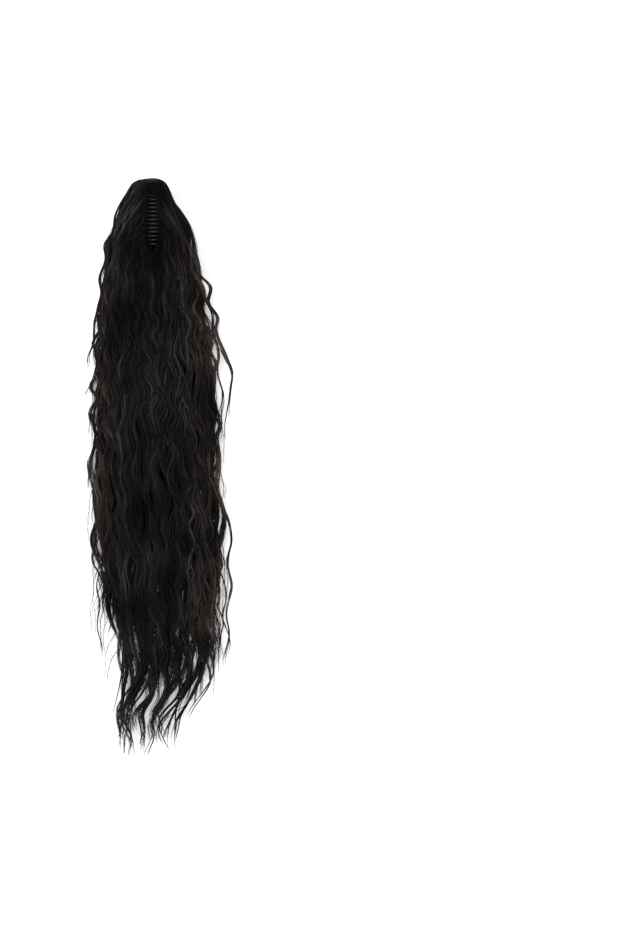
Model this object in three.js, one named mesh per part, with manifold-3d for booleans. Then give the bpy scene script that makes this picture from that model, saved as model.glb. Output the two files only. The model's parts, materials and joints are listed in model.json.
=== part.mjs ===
// A wavy ponytail hairpiece on a claw clip, lying on its hair side with the claw up.
//
// Two equal jaws with curved, interleaved teeth turn on one pin with a coil spring, as in a large hair
// claw. Hair is sewn to the outside of each jaw (the two crowns), and both crowns run into one long
// bundle of wavy locks (the fall), which also lies as a thin mat under the clip.
//
// Millimetres. +Z is up, +Y runs along the hairpiece towards the clip end, and +X is to the right when
// the claw is seen from above. The origin is on the table, straight below the middle of the hinge.
import * as THREE from 'three';
import { mergeVertices } from 'three/addons/utils/BufferGeometryUtils.js';
import Module from 'manifold-3d';

const wasm = await Module();
wasm.setup();

// The clip
const CLIP_LENGTH = 72; // along the hinge
const CLIP_WIDTH = 38; // across both closed jaws
const CLIP_DEPTH = 32; // from the hinge's axis up to the top of the teeth
const END_TAPER = 0.5; // share of the clip's width that its ends lose
const END_DROP = 0.14; // share of the clip's depth that its ends lose
const JAW_WALL = 2.4;
const OPEN_ANGLE = 30; // degrees that each jaw turns when the levers are squeezed
const TEETH_PER_JAW = 8;
const TOOTH_WIDTH = 2.3;
const TOOTH_TIP = 1.3; // thickness at the tip
const TOOTH_CROSSING = 7; // how far a closed tip passes the middle
const TOOTH_MARGIN = 0.6; // plain jaw past the row of teeth, at each end

// The hinge
const HINGE_HEIGHT = 24; // above the table
const PIN_RADIUS = 1.2;
const PIN_HEAD_RADIUS = 2.2;
const PIN_HEAD_LENGTH = 1;
const BORE_CLEARANCE = 0.25;
const KNUCKLE_RADIUS = 3.4;
const KNUCKLE_LENGTH = 4;
const SPINE_RADIUS = 7.5; // the thick root that joins a jaw to its lever
const SPRING_LENGTH = 15.6;
const SPRING_RADIUS = 2.3; // to the middle of the wire
const SPRING_WIRE = 0.45; // wire radius
const SPRING_TURNS = 5;
const LEVER_REACH = 17; // from the hinge's axis to the lever's end
const LEVER_WIDTH = 30; // along the hinge
const LEVER_WALL = 2.2;
const LEVER_SPARE_ANGLE = 20; // degrees from upright that a squeezed lever still leans out

// The hair
const HAIR_LENGTH = 660;
const HAIR_HALF_WIDTH = 72; // the fall's widest half
const FALL_HEIGHT = 34; // above the table, half way down
const HAIR_PAST_CLIP = 6; // hair past each end of the clip
const HAIR_OVER_TEETH = 5; // how far the hair beside the teeth stands above them
const PARTING_HALF_WIDTH = 7; // half of the slot that shows the teeth
const MAT_THICKNESS = 7; // the hair that lies under the clip
const WAVE_LENGTH = 38; // crest to crest, near the clip
const WAVE_STRETCH = 0.22; // share by which the waves grow longer towards the tips
const WAVE_DEPTH = 5.5; // sideways swing of a lock
const CROWN_FULLNESS = 0.72; // 1 is an oval section over the clip, and less is squarer
const LOCK_DEPTH = 5; // how far a lock stands out of the bundle
const LOCK_WIDTH = 18;
const LOCKS_ACROSS = 8; // over the top of the fall
const CROWN_LOCKS = 4; // over each crown

const GAP = 0.3; // between neighbouring pieces
const HAIR_GAP = 0.6; // between the hair and the jaws that carry it
const RING_STEP = 11; // length of one facet of a lock
const LOCK_SIDES = 4;
const ROUND = 24; // facets of a round face
const TINY_ROUND = 16;

const clipEnd = CLIP_LENGTH / 2;
const hairTop = clipEnd + HAIR_PAST_CLIP; // Y of the crown's rounded end
const crownLength = CLIP_LENGTH + 2 * HAIR_PAST_CLIP;
const fallLength = HAIR_LENGTH - crownLength;
const crownHeight = HINGE_HEIGHT + CLIP_DEPTH + HAIR_OVER_TEETH;
const toothSpan = CLIP_LENGTH - 2 * TOOTH_MARGIN;
const toothPitch = (toothSpan - TOOTH_WIDTH) / (TEETH_PER_JAW - 0.5);

// Outline of the hair over the clip, seen from above and from the side. along is a share of the crown's
// length from its rounded end, left and right are shares of the clip's width, height of the crown's.
const crownRows = [
  { along: 0.0, left: 0.44, right: 0.3, height: 0.96 },
  { along: 0.03, left: 0.58, right: 0.46, height: 0.98 },
  { along: 0.11, left: 0.76, right: 0.56, height: 1.0 },
  { along: 0.28, left: 0.98, right: 0.74, height: 1.0 },
  { along: 0.45, left: 1.14, right: 0.89, height: 1.0 },
  { along: 0.62, left: 1.22, right: 1.03, height: 1.0 },
  { along: 0.8, left: 1.36, right: 1.14, height: 0.98 },
  { along: 1.0, left: 1.46, right: 1.3, height: 0.94 },
];

// Outline of the fall below the clip. along is a share of the fall's length, left and right are shares of
// its widest half, height of the fall's height. It starts as wide and as high as the crown ends.
const lastCrownRow = crownRows[crownRows.length - 1];
const fallRows = [
  {
    along: 0,
    left: (lastCrownRow.left * CLIP_WIDTH) / HAIR_HALF_WIDTH,
    right: (lastCrownRow.right * CLIP_WIDTH) / HAIR_HALF_WIDTH,
    height: (lastCrownRow.height * crownHeight) / FALL_HEIGHT,
  },
  { along: 0.05, left: 0.82, right: 0.72, height: 1.42 },
  { along: 0.13, left: 0.9, right: 0.76, height: 1.2 },
  { along: 0.23, left: 0.93, right: 0.86, height: 1.08 },
  { along: 0.36, left: 0.95, right: 0.92, height: 1.02 },
  { along: 0.5, left: 0.96, right: 0.95, height: 0.96 },
  { along: 0.62, left: 0.92, right: 0.98, height: 0.84 },
  { along: 0.71, left: 0.8, right: 0.96, height: 0.7 },
  { along: 0.78, left: 0.62, right: 0.84, height: 0.56 },
  { along: 0.85, left: 0.46, right: 0.6, height: 0.38 },
  { along: 0.9, left: 0.26, right: 0.36, height: 0.22 },
  { along: 0.94, left: 0.08, right: 0.16, height: 0.14 },
];

// Locks that leave the bundle. from and to are shares of the fall's length, start and end are places
// across it (-1 and 1 are its widest half to the left and to the right), wide is a share of a full lock,
// and phase shifts the wave, as a share of it.
const looseLocks = [
  { from: -0.03, to: 0.44, start: 0.5, end: 1.12, wide: 0.5, phase: 0.1 },
  { from: 0.08, to: 0.5, start: 0.66, end: 0.98, wide: 0.7, phase: 0.6 },
  { from: 0.3, to: 0.62, start: 0.8, end: 1.02, wide: 0.7, phase: 0.3 },
  { from: 0.5, to: 0.8, start: 0.84, end: 1.04, wide: 0.8, phase: 0.8 },
  { from: 0.1, to: 0.4, start: -0.74, end: -0.98, wide: 0.6, phase: 0.7 },
  { from: 0.26, to: 0.52, start: -0.84, end: -1.03, wide: 0.6, phase: 0.4 },
  { from: 0.52, to: 0.8, start: -0.82, end: -0.86, wide: 0.8, phase: 0.2 },
  { from: 0.68, to: 0.94, start: -0.6, end: -0.76, wide: 1.2, phase: 0.6 },
  { from: 0.68, to: 0.985, start: -0.42, end: -0.56, wide: 1.5, phase: 0.35 },
  { from: 0.7, to: 1.0, start: -0.22, end: -0.34, wide: 1.6, phase: 0.5 },
  { from: 0.72, to: 0.97, start: -0.02, end: -0.12, wide: 1.6, phase: 0.4 },
  { from: 0.7, to: 0.99, start: 0.2, end: 0.1, wide: 1.6, phase: 0.1 },
  { from: 0.7, to: 0.98, start: 0.4, end: 0.36, wide: 1.5, phase: 0.2 },
  { from: 0.68, to: 0.96, start: 0.58, end: 0.52, wide: 1.4, phase: 0.0 },
  { from: 0.66, to: 0.91, start: 0.78, end: 0.7, wide: 1.1, phase: 0.9 },
];

const rad = THREE.MathUtils.degToRad;
const { lerp, smoothstep } = THREE.MathUtils;

// A closed geometry as a solid that can be joined and cut.
function solid(geometry) {
  const bare = geometry.clone();
  bare.deleteAttribute('normal');
  bare.deleteAttribute('uv');
  const merged = mergeVertices(bare, 1e-4);
  return new wasm.Manifold(
    new wasm.Mesh({
      numProp: 3,
      vertProperties: new Float32Array(merged.attributes.position.array),
      triVerts: new Uint32Array(merged.index.array),
    }),
  );
}

function join(solids) {
  return solids.reduce((whole, next) => whole.add(next));
}

// The largest body of a solid, without the crumbs and pockets that crossing locks leave.
function mainBody(whole) {
  return whole.decompose().reduce((largest, next) => (next.volume() > largest.volume() ? next : largest));
}

// A flat outline in X and Z, drawn about the hinge's axis, as a solid from y0 to y1.
function slab(shape, y0, y1) {
  const geometry = new THREE.ExtrudeGeometry(shape, {
    depth: y1 - y0,
    bevelEnabled: false,
    curveSegments: TINY_ROUND / 2,
  });
  geometry.rotateX(Math.PI / 2);
  geometry.translate(0, y1, HINGE_HEIGHT);
  return solid(geometry);
}

function block(x0, x1, y0, y1, z0, z1) {
  const geometry = new THREE.BoxGeometry(x1 - x0, y1 - y0, z1 - z0);
  geometry.translate((x0 + x1) / 2, (y0 + y1) / 2, (z0 + z1) / 2);
  return geometry;
}

// The jaws are oval in section, and lose width and depth towards both ends.
function clipSection(y) {
  const end = Math.min(1, Math.abs(y) / clipEnd) ** 2;
  return {
    halfWidth: (CLIP_WIDTH / 2) * (1 - END_TAPER * end),
    halfDepth: (CLIP_DEPTH / 2) * (1 - END_DROP * end),
  };
}

// Point of the jaws' oval at turn degrees round from its foot by the hinge, inset towards its middle.
function ovalPoint(section, turn, inset) {
  return new THREE.Vector2(
    (section.halfWidth - inset) * Math.sin(rad(turn)),
    section.halfDepth - (section.halfDepth - inset) * Math.cos(rad(turn)),
  );
}

// A curved strip of the oval's wall, from one turn to another, thinning from wall0 to wall1.
function ovalStrip(section, turn0, turn1, wall0, wall1, steps) {
  const outside = [];
  const inside = [];
  for (let i = 0; i <= steps; i++) {
    const turn = lerp(turn0, turn1, i / steps);
    outside.push(ovalPoint(section, turn, 0));
    inside.unshift(ovalPoint(section, turn, lerp(wall0, wall1, i / steps)));
  }
  return new THREE.Shape([...outside, ...inside]);
}

// A ring sector round the hinge's axis, from angle0 to angle1 degrees above the +X direction.
function sector(inner, outer, angle0, angle1) {
  const steps = 4;
  const arc = (radius) =>
    Array.from({ length: steps + 1 }, (_, i) =>
      new THREE.Vector2(radius, 0).rotateAround(new THREE.Vector2(), rad(lerp(angle0, angle1, i / steps))),
    );
  return new THREE.Shape([...arc(outer), ...(inner > 0 ? arc(inner).reverse() : [new THREE.Vector2()])]);
}

function disc(radius) {
  const shape = new THREE.Shape();
  shape.absarc(0, 0, radius, 0, 2 * Math.PI, false);
  return shape;
}

const plateFoot = 15; // turns of the oval, in degrees, where the jaw's plate starts and ends
const plateTop = 72;
const leverAngle = OPEN_ANGLE + LEVER_SPARE_ANGLE - 90; // above +X, so below it
const spineTop = 30;
const plateSteps = 5;
const toothSteps = 6;

// The jaw's curved plate, narrowed towards both ends.
function jawPlate() {
  const middle = clipSection(0);
  const strip = ovalStrip(middle, plateFoot, plateTop, JAW_WALL, JAW_WALL, plateSteps);
  const geometry = new THREE.ExtrudeGeometry(strip, {
    depth: CLIP_LENGTH,
    bevelEnabled: false,
    steps: 8,
  });
  geometry.rotateX(Math.PI / 2);
  geometry.translate(0, clipEnd, 0);
  const position = geometry.attributes.position;
  for (let i = 0; i < position.count; i++) {
    const here = clipSection(position.getY(i));
    position.setX(i, (position.getX(i) * here.halfWidth) / middle.halfWidth);
    position.setZ(i, (position.getZ(i) * here.halfDepth) / middle.halfDepth + HINGE_HEIGHT);
  }
  return solid(geometry);
}

// One curved tooth, which follows the oval over the top and past the middle.
function tooth(y) {
  const section = clipSection(y);
  const crossing = THREE.MathUtils.radToDeg(Math.asin(Math.min(0.9, TOOTH_CROSSING / section.halfWidth)));
  const strip = ovalStrip(section, plateTop - 8, 180 + crossing, JAW_WALL, TOOTH_TIP, toothSteps);
  return slab(strip, y - TOOTH_WIDTH / 2, y + TOOTH_WIDTH / 2);
}

function lever() {
  const shape = new THREE.Shape([
    new THREE.Vector2(KNUCKLE_RADIUS + GAP, -LEVER_WALL / 2),
    new THREE.Vector2(LEVER_REACH - LEVER_WALL / 2, -LEVER_WALL / 2),
    new THREE.Vector2(LEVER_REACH, 0),
    new THREE.Vector2(LEVER_REACH - LEVER_WALL / 2, LEVER_WALL / 2),
    new THREE.Vector2(KNUCKLE_RADIUS + GAP, LEVER_WALL / 2),
  ]);
  const turned = new THREE.Shape(
    shape.getPoints().map((p) => p.rotateAround(new THREE.Vector2(), rad(leverAngle))),
  );
  return slab(turned, -LEVER_WIDTH / 2, LEVER_WIDTH / 2);
}

// The right jaw. Turned half round about Z it is the left one: its knuckles then lie beside these, and
// its teeth between these.
function jaw() {
  const outerKnuckle = SPRING_LENGTH / 2 + GAP + KNUCKLE_LENGTH + GAP;
  const knuckleStarts = [SPRING_LENGTH / 2 + GAP, -outerKnuckle - KNUCKLE_LENGTH];
  const pieces = [jawPlate(), lever()];
  const ringInner = KNUCKLE_RADIUS + GAP;
  pieces.push(slab(sector(ringInner, SPINE_RADIUS, leverAngle, spineTop), -LEVER_WIDTH / 2, LEVER_WIDTH / 2));
  for (const start of knuckleStarts) {
    pieces.push(slab(disc(KNUCKLE_RADIUS), start, start + KNUCKLE_LENGTH));
    pieces.push(slab(sector(0, SPINE_RADIUS, leverAngle, spineTop), start, start + KNUCKLE_LENGTH));
  }
  for (let i = 0; i < TEETH_PER_JAW; i++) {
    pieces.push(tooth(toothSpan / 2 - TOOTH_WIDTH / 2 - i * toothPitch));
  }
  const bore = slab(disc(PIN_RADIUS + BORE_CLEARANCE), -clipEnd, clipEnd);
  return join(pieces).subtract(bore);
}

function hingePin() {
  const shank = SPRING_LENGTH / 2 + 3 * GAP + 2 * KNUCKLE_LENGTH;
  const end = shank + PIN_HEAD_LENGTH;
  const profile = [
    [0, -end],
    [PIN_HEAD_RADIUS, -end],
    [PIN_HEAD_RADIUS, -shank],
    [PIN_RADIUS, -shank],
    [PIN_RADIUS, shank],
    [PIN_HEAD_RADIUS, shank],
    [PIN_HEAD_RADIUS, end],
    [0, end],
  ].map(([r, y]) => new THREE.Vector2(r, y));
  const geometry = new THREE.LatheGeometry(profile, TINY_ROUND);
  geometry.translate(0, 0, HINGE_HEIGHT);
  return solid(geometry);
}

class Helix extends THREE.Curve {
  constructor(radius, length, turns) {
    super();
    Object.assign(this, { radius, length, turns });
  }

  getPoint(t, target = new THREE.Vector3()) {
    const turn = 2 * Math.PI * this.turns * t;
    return target.set(
      this.radius * Math.cos(turn),
      this.length * (t - 0.5),
      this.radius * Math.sin(turn) + HINGE_HEIGHT,
    );
  }
}

function hingeSpring() {
  const wireSides = 5;
  const stepsPerTurn = 8;
  const section = new THREE.Shape(
    Array.from({ length: wireSides }, (_, i) => {
      const angle = (2 * Math.PI * i) / wireSides;
      return new THREE.Vector2(SPRING_WIRE * Math.cos(angle), SPRING_WIRE * Math.sin(angle));
    }),
  );
  const path = new Helix(SPRING_RADIUS, SPRING_LENGTH - 2 * SPRING_WIRE - GAP, SPRING_TURNS);
  return solid(
    new THREE.ExtrudeGeometry(section, { extrudePath: path, steps: stepsPerTurn * SPRING_TURNS }),
  );
}

// The row values at a share of the length, on a smooth line through the rows.
function rowAt(rows, along) {
  const inRange = THREE.MathUtils.clamp(along, rows[0].along, rows[rows.length - 1].along);
  const next = Math.max(1, rows.findIndex((row) => row.along >= inRange));
  const before = rows[next - 1];
  const local = (inRange - before.along) / (rows[next].along - before.along);
  const line = new THREE.CatmullRomCurve3(
    rows.map((row) => new THREE.Vector3(row.left, row.right, row.height)),
    false,
    'catmullrom',
    0.4,
  );
  return line.getPoint((next - 1 + local) / (rows.length - 1));
}

// The hair's outline at a distance down from its top: its two half widths and its height.
function outline(down) {
  if (down < crownLength) {
    const row = rowAt(crownRows, down / crownLength);
    return { left: row.x * CLIP_WIDTH, right: row.y * CLIP_WIDTH, height: row.z * crownHeight };
  }
  const row = rowAt(fallRows, (down - crownLength) / fallLength);
  return { left: row.x * HAIR_HALF_WIDTH, right: row.y * HAIR_HALF_WIDTH, height: row.z * FALL_HEIGHT };
}

// Sideways swing of the hair. It grows from nothing on the crown, and phase is in waves.
function wave(down, phase) {
  const grown = smoothstep(down, crownLength * 0.4, crownLength * 1.6);
  const waves = down / (WAVE_LENGTH * (1 + (WAVE_STRETCH * down) / HAIR_LENGTH));
  return WAVE_DEPTH * grown * Math.sin(2 * Math.PI * (waves + phase));
}

// A cylinder moved point by point. place(corner, along) gives the new place of a corner of the section,
// from 0 to sides - 1, or of its middle, -1, at along, which is 0 at the cylinder's top and 1 at its foot.
function bent(sides, steps, place) {
  const geometry = new THREE.CylinderGeometry(1, 1, 1, sides, steps);
  const position = geometry.attributes.position;
  for (let i = 0; i < position.count; i++) {
    const [x, y, z] = [position.getX(i), position.getY(i), position.getZ(i)];
    const turn = Math.round((Math.atan2(x, z) / (2 * Math.PI)) * sides);
    const corner = Math.hypot(x, z) < 0.5 ? -1 : (turn + sides) % sides;
    const spot = place(corner, 0.5 - y);
    position.setXYZ(i, spot.x, spot.y, spot.z);
  }
  return solid(geometry);
}

// The corner of a round section with a radius of 1, as x and z.
function roundCorner(corner, sides) {
  const turn = (2 * Math.PI * corner) / sides;
  return corner < 0 ? { x: 0, z: 0 } : { x: Math.sin(turn), z: Math.cos(turn) };
}

// The ribbed bundle between two distances down: a dome of locks that wave side by side, flat below. Its
// section goes over the dome from left to right, with every second corner on a lock's ridge, and then
// back along the table.
function bundle(down0, down1) {
  const domeCorners = 2 * LOCKS_ACROSS;
  const tableCorners = 4;
  const steps = Math.ceil((down1 - down0) / RING_STEP);
  return bent(domeCorners + tableCorners, steps, (corner, along) => {
    const down = lerp(down0, down1, along);
    const { left, right, height } = outline(down);
    const spot = new THREE.Vector3(0, hairTop - down, 0);
    if (corner > domeCorners) {
      spot.x = lerp(right, -left, (corner - domeCorners) / tableCorners);
    } else if (corner >= 0) {
      const turn = (Math.PI * corner) / domeCorners;
      const depth = Math.min(LOCK_DEPTH, height / 3);
      const valley = corner % 2 === 1 ? 0 : depth;
      const fullness = lerp(CROWN_FULLNESS, 1, smoothstep(down, crownLength / 2, crownLength * 2));
      const x = Math.abs(Math.cos(turn)) ** fullness;
      spot.x = corner < domeCorners / 2 ? -x * (left - valley) : x * (right - valley);
      spot.z = Math.sin(turn) ** fullness * (height - valley);
    }
    spot.x += wave(down, 0.15 * Math.sin(0.9 * corner));
    return spot;
  });
}

// A single lock along a route: route(along) gives its middle, and size(along) its half width and half
// thickness.
function lock(steps, route, size) {
  return bent(LOCK_SIDES, steps, (corner, along) => {
    const middle = route(along);
    const behind = route(Math.max(0, along - 0.01));
    const ahead = route(Math.min(1, along + 0.01));
    const back = behind.sub(ahead).normalize();
    const across = new THREE.Vector3().crossVectors(back, new THREE.Vector3(0, 0, 1)).normalize();
    const up = new THREE.Vector3().crossVectors(across, back);
    const { half, thick } = size(along);
    const { x, z } = roundCorner(corner, LOCK_SIDES);
    return middle.addScaledVector(across, x * half).addScaledVector(up, z * thick);
  });
}

function looseLock(row) {
  const length = (row.to - row.from) * fallLength;
  const size = (along) => {
    const taper = smoothstep(along, -0.15, 0.15) * (1 - 0.92 * along ** 2);
    return {
      half: (LOCK_WIDTH / 2) * row.wide * taper,
      thick: LOCK_DEPTH * row.wide * Math.max(0.25, taper),
    };
  };
  const route = (along) => {
    const down = crownLength + lerp(row.from, row.to, along) * fallLength;
    const across = lerp(row.start, row.end, smoothstep(along, 0, 1));
    const lift = outline(down).height * 0.3 * (1 - smoothstep(along, 0, 0.4));
    return new THREE.Vector3(
      across * HAIR_HALF_WIDTH + wave(down, row.phase),
      hairTop - down,
      size(along).thick + lift,
    );
  };
  return lock(Math.ceil(length / RING_STEP), route, size);
}

// The long bundle. Under the clip only the mat is left of it.
function hairFall() {
  const bundleEnd = crownLength + fallRows[fallRows.length - 1].along * fallLength;
  const whole = join([bundle(0, bundleEnd), ...looseLocks.map(looseLock)]);
  const reach = HAIR_LENGTH;
  const overMat = block(-reach, reach, hairTop - crownLength, hairTop + reach, MAT_THICKNESS, reach);
  const underTable = block(-reach, reach, -2 * reach, reach, -reach, 0);
  return mainBody(whole.subtract(solid(overMat)).subtract(solid(underTable)));
}

// The space that the closed jaws fill, with a gap round it, which the crowns wrap.
function clipEnvelope() {
  const reach = clipEnd + 2 * HAIR_PAST_CLIP;
  const outside = 1 / Math.cos(Math.PI / ROUND);
  return bent(ROUND, 8, (corner, along) => {
    const { x, z } = roundCorner(corner, ROUND);
    const y = lerp(reach, -reach, along);
    const { halfWidth, halfDepth } = clipSection(y);
    return new THREE.Vector3(
      x * (halfWidth + HAIR_GAP) * outside,
      y,
      HINGE_HEIGHT + halfDepth + z * (halfDepth + HAIR_GAP) * outside,
    );
  });
}

// The slot over the teeth, seen from above: narrow at the top end, and closing again at the foot.
function parting() {
  const w = PARTING_HALF_WIDTH;
  const rows = [
    { y: 0.98, half: 0.15 },
    { y: 0.75, half: 0.5 },
    { y: 0.45, half: 0.85 },
    { y: 0.0, half: 1.0 },
    { y: -0.75, half: 1.0 },
    { y: -1.0, half: 0.7 },
  ];
  const right = rows.map((row) => new THREE.Vector2(row.half * w, row.y * clipEnd));
  const left = rows.map((row) => new THREE.Vector2(-row.half * w, row.y * clipEnd)).reverse();
  const geometry = new THREE.ExtrudeGeometry(new THREE.Shape([...left, ...right]), {
    depth: 2 * CLIP_DEPTH,
    bevelEnabled: false,
  });
  geometry.translate(0, 0, HINGE_HEIGHT + CLIP_DEPTH / 2);
  return solid(geometry);
}

// A ridge of hair that leaves the parting on one side and runs out and down over the crown.
function crownLock(side, i) {
  const share = (i + 0.5) / CROWN_LOCKS;
  const from = lerp(0.03, 0.62, share);
  const route = (along) => {
    const down = crownLength * lerp(from, 1.04, along);
    const { left, right, height } = outline(down);
    const halfWidth = side > 0 ? right : left;
    const lean = lerp(0.25, lerp(0.9, 0.3, share), Math.sqrt(along)) * (Math.PI / 2);
    return new THREE.Vector3(
      side * halfWidth * Math.sin(lean) + wave(down, 0.2 * share),
      hairTop - down,
      (height - LOCK_DEPTH / 2) * Math.cos(lean),
    );
  };
  const size = (along) => ({
    half: (LOCK_WIDTH / 2) * lerp(0.35, 0.75, along),
    thick: LOCK_DEPTH * lerp(0.45, 0.8, along),
  });
  return lock(8, route, size);
}

// The hair on one jaw: the part of the bundle over the clip that lies on its side of the parting, kept
// clear of the jaw, and of the mat when the jaw is open.
function hairCrown(side) {
  const reach = 2 * crownLength;
  const footY = hairTop - crownLength + GAP;
  const locks = Array.from({ length: CROWN_LOCKS }, (_, i) => crownLock(side, i));
  const whole = join([bundle(0, crownLength + RING_STEP), ...locks]);
  const swing = block(-reach, reach, -reach, reach, -reach, MAT_THICKNESS + GAP - HINGE_HEIGHT);
  swing.rotateY(-side * rad(OPEN_ANGLE));
  swing.translate(0, 0, HINGE_HEIGHT);
  const cutters = [
    block(side > 0 ? -reach : -GAP / 2, side > 0 ? GAP / 2 : reach, -reach, reach, -reach, reach),
    block(-reach, reach, -reach, reach, -reach, HINGE_HEIGHT + GAP),
    block(-reach, reach, -reach, footY, -reach, reach),
    block(-SPINE_RADIUS - 1, SPINE_RADIUS + 1, -reach, reach, -reach, HINGE_HEIGHT + KNUCKLE_RADIUS),
    swing,
  ];
  const hollow = whole.subtract(clipEnvelope()).subtract(parting());
  return mainBody(cutters.reduce((hair, cutter) => hair.subtract(solid(cutter)), hollow));
}

function geometryOf(body) {
  const mesh = body.getMesh();
  const geometry = new THREE.BufferGeometry();
  geometry.setAttribute('position', new THREE.BufferAttribute(mesh.vertProperties, 3));
  geometry.setIndex(new THREE.BufferAttribute(mesh.triVerts, 1));
  geometry.computeVertexNormals();
  return geometry;
}

const hair = new THREE.MeshStandardMaterial({ color: 0x17110e, roughness: 0.5, metalness: 0 });
const plastic = new THREE.MeshStandardMaterial({ color: 0x0b0b0c, roughness: 0.35, metalness: 0 });
const steel = new THREE.MeshStandardMaterial({ color: 0x8d8f92, roughness: 0.35, metalness: 1 });

const hairpiece = new THREE.Group();

function place(name, body, material, turn = 0) {
  const mesh = new THREE.Mesh(geometryOf(body), material);
  mesh.name = name;
  mesh.rotation.z = turn;
  hairpiece.add(mesh);
}

place('jaw_right', jaw(), plastic);
place('jaw_left', jaw(), plastic, Math.PI);
place('hinge_pin', hingePin(), steel);
place('hinge_spring', hingeSpring(), steel);
place('hair_crown_right', hairCrown(1), hair);
place('hair_crown_left', hairCrown(-1), hair);
place('hair_fall', hairFall(), hair);

export default hairpiece;
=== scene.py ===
"""A wavy ponytail hairpiece sewn to a claw clip, lying with the claw's teeth up."""
import json
import math
from dataclasses import dataclass, field

import bmesh
import bpy
import numpy as np
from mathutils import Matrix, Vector


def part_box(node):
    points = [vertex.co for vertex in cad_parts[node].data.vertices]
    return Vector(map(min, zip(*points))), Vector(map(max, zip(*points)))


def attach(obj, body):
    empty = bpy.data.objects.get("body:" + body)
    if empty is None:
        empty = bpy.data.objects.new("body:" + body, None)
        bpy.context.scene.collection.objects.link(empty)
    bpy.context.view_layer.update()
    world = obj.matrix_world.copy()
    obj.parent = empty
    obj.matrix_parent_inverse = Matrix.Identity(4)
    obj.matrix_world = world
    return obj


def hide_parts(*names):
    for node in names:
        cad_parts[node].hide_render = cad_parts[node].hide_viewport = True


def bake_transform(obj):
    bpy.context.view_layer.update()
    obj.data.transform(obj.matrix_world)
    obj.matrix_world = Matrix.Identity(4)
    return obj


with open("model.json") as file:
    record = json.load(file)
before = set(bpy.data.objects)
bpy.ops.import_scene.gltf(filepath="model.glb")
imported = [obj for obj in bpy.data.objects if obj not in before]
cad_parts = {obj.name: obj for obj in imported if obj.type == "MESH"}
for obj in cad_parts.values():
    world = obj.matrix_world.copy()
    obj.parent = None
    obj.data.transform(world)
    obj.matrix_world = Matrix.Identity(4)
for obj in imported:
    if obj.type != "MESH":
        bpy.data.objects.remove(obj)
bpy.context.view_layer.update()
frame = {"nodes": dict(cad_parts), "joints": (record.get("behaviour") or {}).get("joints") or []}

MM = 0.001

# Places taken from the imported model
hinge = next(joint for joint in frame["joints"] if joint["name"] == "right_jaw_hinge")
HINGE_HEIGHT = hinge["pos_m"][2]
OPEN_ANGLE = math.radians(hinge["range_deg"][1])
crown_low, crown_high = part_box("hair_crown_left")
HAIR_TOP = crown_high[1]
CROWN_LENGTH = crown_high[1] - crown_low[1]
CROWN_RIM = crown_low[2]
CROWN_HEIGHT = crown_high[2]
HAIR_LENGTH = HAIR_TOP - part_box("hair_fall")[0][1]

# The bundle, and the mat of hair under the clip, which may rise once it is past the clip's levers
WIDEST_HALF = 72 * MM
MAT_THICKNESS = 7 * MM
MAT_INSET = 8 * MM
MAT_RISE = 20 * MM
MAT_RISE_START = 90 * MM
MAT_RISE_END = 160 * MM

# The crowns and their sewn caps
CROWN_FULLNESS = 0.72
CROWN_END_LENGTH = 9 * MM
CROWN_END_HEIGHT = 25 * MM
CAP_TOP = 0.6 * MM
CAP_LENGTH = 104 * MM
CAP_WALL = 1.0 * MM
CAP_INSET_AT_PARTING = 2.4 * MM
CAP_INSET = 7 * MM
CAP_EDGE_INSET = 5 * MM
CAP_END_INSET = 8 * MM
CAP_COLUMNS = 16
CAP_ROWS = 36
CAP_STREAKS = 14

# Locks, and the core in each, painted dark as the shade inside the lock
LOCK_RADIUS = 4.8 * MM
LOCK_FLATNESS = 0.55
LOCK_OPENING = 50 * MM
LOCK_SWELL = 0.3
SETTLE_LENGTH = 90 * MM
SURFACE_DRIFT = 1.6 * MM
SIDE_DRIFT = 3.5 * MM
CORE_SHARE = 0.6
CORE_INSET = 1.6 * MM
CORE_ROOT_GAP = 3 * MM
CORE_TIP_GAP = 35 * MM
CORE_TAPER_START = 140 * MM
CORE_TAPER_END = 45 * MM

# Waves
WAVE_SWING = 3.7 * MM
WAVE_TOP_LENGTH = 36 * MM
WAVE_LOW_LENGTH = 68 * MM

# Tips, which gather in bundles and are swept to the left
TIP_LENGTH = 120 * MM
TIP_CLUMPING = 0.74
TIP_CALMING = 0.85
TIP_WANDER = 5 * MM
TIP_BUNDLES = 4
BUNDLE_PULL = 0.7
BUNDLE_LEAD = 25 * MM
BUNDLE_WANDER = 6 * MM
TIP_SWEEP = -25 * MM
TIP_SWEEP_START = 562 * MM
TIP_SWEEP_END = 622 * MM

# Strands. Those of locks that start at the seam, near the hair's top, scatter less. Cuts are how much
# shorter than their lock strands can be, and unruly ones stray furthest.
STRAND_RADIUS = 0.37 * MM
STRAND_TWIST = 11
ROOT_TAPER = 12 * MM
END_TAPER = 60 * MM
SEAM_END = 5 * MM
SEAM_SCATTER = 0.7 * MM
START_SCATTER = 3 * MM
SHORT_STRANDS = 0.14
SHORT_CUT = 190 * MM
USUAL_CUT = 22 * MM
FORK_CUT = 30 * MM
UNRULY_STRANDS = 0.12
UNRULY_FRIZZ = 3.2

# How far strands stray from their lock
OUTER_FRIZZ = 0.9 * MM
HIDDEN_FRIZZ = 0.6 * MM
FLYAWAY_FRIZZ = 1.5 * MM
LOOSE_FRIZZ = 0.5 * MM

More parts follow.
